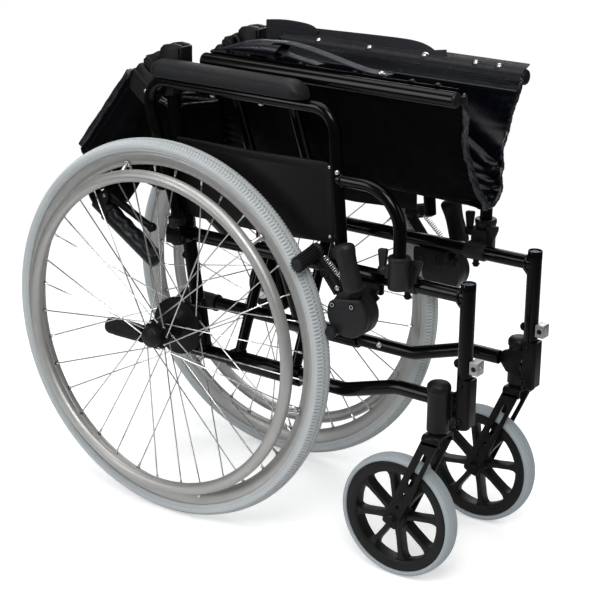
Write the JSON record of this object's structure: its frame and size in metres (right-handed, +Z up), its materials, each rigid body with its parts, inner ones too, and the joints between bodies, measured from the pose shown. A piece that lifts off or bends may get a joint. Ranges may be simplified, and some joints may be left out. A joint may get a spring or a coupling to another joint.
{
  "type": "folding manual wheelchair",
  "caption": "Folding manual wheelchair, folded, with spoked grey-tyred rear wheels, handrims, casters, drum brakes, fabric seat and back, and fold-down push handles.",
  "frame": {"origin": "on the floor, below the middle of the folded chair's box", "axes": "+Z up, -Y towards the front casters, +X towards the user's left"},
  "size_m": [0.397, 0.8354, 0.739],
  "materials": {
    "frame_black": "gloss",
    "fork_black": "satin",
    "plastic_black": "matt",
    "guard_black": "satin",
    "rubber_black": "matt",
    "nylon_black": "sheen",
    "pad_vinyl": "matt",
    "tyre_grey": "matt",
    "caster_tyre": "matt",
    "alloy": "satin",
    "steel": "satin"
  },
  "bodies": {
    "side_right": {"side_frame_right": "frame_black", "latch_block_right": "steel", "rear_tip_right": "rubber_black", "caster_housing_right": "plastic_black", "lock_body_right": "plastic_black", "armrest_socket_right": "plastic_black", "rear_axle_right": "plastic_black"},
    "wheel_right": {"rear_tyre_right": "tyre_grey", "rear_rim_right": "alloy", "rear_hub_and_spokes_right": "steel", "handrim_right": "alloy"},
    "caster_fork_right": {"caster_fork_right": "fork_black", "caster_axle_right": "steel"},
    "caster_wheel_right": {"caster_rim_right": "plastic_black", "caster_tyre_right": "caster_tyre"},
    "lock_lever_right": {"lock_lever_right": "plastic_black"},
    "lock_arm_right": {"lock_arm_right": "plastic_black", "lock_spring_right": "steel"},
    "armrest_right": {"armrest_frame_right": "frame_black", "armrest_pad_right": "pad_vinyl", "skirt_guard_right": "guard_black"},
    "socket_screw_right": {"socket_screw_right": "plastic_black"},
    "back_right": {"back_cane_right": "frame_black", "push_grip_right": "rubber_black"},
    "brake_lever_right": {"brake_lever_right": "plastic_black"},
    "seat_right": {"seat_panel_right": "nylon_black"},
    "lower_back_right": {"lower_back_right": "nylon_black"},
    "upper_back_right": {"upper_back_right": "nylon_black"},
    "side_left": {"side_frame_left": "frame_black", "latch_block_left": "steel", "rear_tip_left": "rubber_black", "caster_housing_left": "plastic_black", "lock_body_left": "plastic_black", "armrest_socket_left": "plastic_black", "rear_axle_left": "plastic_black"},
    "wheel_left": {"rear_tyre_left": "tyre_grey", "rear_rim_left": "alloy", "rear_hub_and_spokes_left": "steel", "handrim_left": "alloy"},
    "caster_fork_left": {"caster_fork_left": "fork_black", "caster_axle_left": "steel"},
    "caster_wheel_left": {"caster_rim_left": "plastic_black", "caster_tyre_left": "caster_tyre"},
    "lock_lever_left": {"lock_lever_left": "plastic_black"},
    "lock_arm_left": {"lock_arm_left": "plastic_black", "lock_spring_left": "steel"},
    "armrest_left": {"armrest_frame_left": "frame_black", "armrest_pad_left": "pad_vinyl", "skirt_guard_left": "guard_black"},
    "socket_screw_left": {"socket_screw_left": "plastic_black"},
    "back_left": {"back_cane_left": "frame_black", "push_grip_left": "rubber_black"},
    "brake_lever_left": {"brake_lever_left": "plastic_black"},
    "seat_left": {"seat_panel_left": "nylon_black"},
    "lower_back_left": {"lower_back_left": "nylon_black"},
    "upper_back_left": {"upper_back_left": "nylon_black"},
    "cross_a": {"cross_frame_a": "frame_black", "centre_bolt_rear": "steel", "centre_bolt_front": "steel"},
    "cross_b": {"cross_frame_b": "frame_black"}
  },
  "joints": [
    {"name": "fold", "type": "hinge", "parent": "side_right", "child": "cross_a", "pos_m": [-0.097, -0.03735, 0.2606], "axis": [0, 1, 0], "range_deg": [0, 41.8]},
    {"name": "fold_cross", "type": "hinge", "parent": "cross_a", "child": "cross_b", "pos_m": [0, -0.02735, 0.4938], "axis": [0, 1, 0], "range_deg": [-83.6, 0]},
    {"name": "fold_side", "type": "hinge", "parent": "cross_b", "child": "side_left", "pos_m": [0.097, -0.01735, 0.2606], "axis": [0, 1, 0], "range_deg": [0, 41.8]},
    {"name": "seat_right_turn", "type": "hinge", "parent": "cross_b", "child": "seat_right", "pos_m": [-0.097, -0.15235, 0.727], "axis": [0, -1, 0], "range_deg": [0, 24.21]},
    {"name": "seat_left_turn", "type": "hinge", "parent": "cross_a", "child": "seat_left", "pos_m": [0.097, -0.15235, 0.727], "axis": [0, 1, 0], "range_deg": [0, 24.21]},
    {"name": "lower_back_right_turn", "type": "hinge", "parent": "side_right", "child": "lower_back_right", "pos_m": [-0.00392, 0.09777, 0.64153], "axis": [0, -0.1221, -0.9925], "range_deg": [0, 72]},
    {"name": "upper_back_right_turn", "type": "hinge", "parent": "back_right", "child": "upper_back_right", "pos_m": [0.01098, 0.20105, 0.55932], "axis": [0, 0.6213, -0.7836], "range_deg": [0, 70.75]},
    {"name": "lower_back_left_turn", "type": "hinge", "parent": "side_left", "child": "lower_back_left", "pos_m": [0.00392, 0.09777, 0.64153], "axis": [0, 0.1221, 0.9925], "range_deg": [0, 72]},
    {"name": "upper_back_left_turn", "type": "hinge", "parent": "back_left", "child": "upper_back_left", "pos_m": [-0.01098, 0.20105, 0.55932], "axis": [0, -0.6213, 0.7836], "range_deg": [0, 70.75]},
    {"name": "back_right_raise", "type": "hinge", "parent": "side_right", "child": "back_right", "pos_m": [-0.097, 0.14665, 0.714], "axis": [1, 0, 0], "range_deg": [0, 134.6]},
    {"name": "back_left_raise", "type": "hinge", "parent": "side_left", "child": "back_left", "pos_m": [0.097, 0.14665, 0.714], "axis": [1, 0, 0], "range_deg": [0, 134.6]},
    {"name": "wheel_right_spin", "type": "hinge", "parent": "side_right", "child": "wheel_right", "pos_m": [-0.152, 0.11265, 0.305], "axis": [1, 0, 0], "continuous": true},
    {"name": "caster_right_swivel", "type": "hinge", "parent": "side_right", "child": "caster_fork_right", "pos_m": [-0.118, -0.36235, 0.27], "axis": [0, 0, 1], "continuous": true},
    {"name": "caster_right_roll", "type": "hinge", "parent": "caster_fork_right", "child": "caster_wheel_right", "pos_m": [-0.118, -0.30235, 0.096], "axis": [1, 0, 0], "continuous": true},
    {"name": "lock_right_lever", "type": "hinge", "parent": "side_right", "child": "lock_lever_right", "pos_m": [-0.139, -0.21835, 0.394], "axis": [1, 0, 0], "range_deg": [0, 24]},
    {"name": "lock_right_arm", "type": "hinge", "parent": "side_right", "child": "lock_arm_right", "pos_m": [-0.1285, -0.19335, 0.432], "axis": [1, 0, 0], "range_deg": [0, 12]},
    {"name": "armrest_right_lift", "type": "slide", "parent": "side_right", "child": "armrest_right", "axis": [0, 0, 1], "range_m": [0, 0.08]},
    {"name": "socket_right_screw", "type": "hinge", "parent": "side_right", "child": "socket_screw_right", "pos_m": [-0.122, -0.26935, 0.472], "axis": [0, -1, 0], "range_deg": [0, 180]},
    {"name": "brake_right_squeeze", "type": "hinge", "parent": "back_right", "child": "brake_lever_right", "pos_m": [-0.097, 0.27833, 0.48464], "axis": [1, 0, 0], "range_deg": [0, 8]},
    {"name": "wheel_left_spin", "type": "hinge", "parent": "side_left", "child": "wheel_left", "pos_m": [0.152, 0.11265, 0.305], "axis": [1, 0, 0], "continuous": true},
    {"name": "caster_left_swivel", "type": "hinge", "parent": "side_left", "child": "caster_fork_left", "pos_m": [0.118, -0.36235, 0.27], "axis": [0, 0, 1], "continuous": true},
    {"name": "caster_left_roll", "type": "hinge", "parent": "caster_fork_left", "child": "caster_wheel_left", "pos_m": [0.118, -0.30235, 0.096], "axis": [1, 0, 0], "continuous": true},
    {"name": "lock_left_lever", "type": "hinge", "parent": "side_left", "child": "lock_lever_left", "pos_m": [0.139, -0.21835, 0.394], "axis": [1, 0, 0], "range_deg": [0, 24]},
    {"name": "lock_left_arm", "type": "hinge", "parent": "side_left", "child": "lock_arm_left", "pos_m": [0.1285, -0.19335, 0.432], "axis": [1, 0, 0], "range_deg": [0, 12]},
    {"name": "armrest_left_lift", "type": "slide", "parent": "side_left", "child": "armrest_left", "axis": [0, 0, 1], "range_m": [0, 0.08]},
    {"name": "socket_left_screw", "type": "hinge", "parent": "side_left", "child": "socket_screw_left", "pos_m": [0.122, -0.26935, 0.472], "axis": [0, 1, 0], "range_deg": [0, 180]},
    {"name": "brake_left_squeeze", "type": "hinge", "parent": "back_left", "child": "brake_lever_left", "pos_m": [0.097, 0.27833, 0.48464], "axis": [1, 0, 0], "range_deg": [0, 8]}
  ],
  "couplings": [
    {"joint": "fold_cross", "follows": "fold", "ratio": -2},
    {"joint": "fold_side", "follows": "fold", "ratio": 1},
    {"joint": "seat_right_turn", "follows": "fold", "ratio": 0.57903},
    {"joint": "seat_left_turn", "follows": "fold", "ratio": 0.57903},
    {"joint": "lower_back_right_turn", "follows": "fold", "ratio": 1.7221},
    {"joint": "upper_back_right_turn", "follows": "fold", "ratio": 1.6924},
    {"joint": "lower_back_left_turn", "follows": "fold", "ratio": 1.7221},
    {"joint": "upper_back_left_turn", "follows": "fold", "ratio": 1.6924},
    {"joint": "back_left_raise", "follows": "back_right_raise", "ratio": 1},
    {"joint": "lock_right_arm", "follows": "lock_right_lever", "ratio": 0.5},
    {"joint": "lock_left_arm", "follows": "lock_left_lever", "ratio": 0.5}
  ]
}
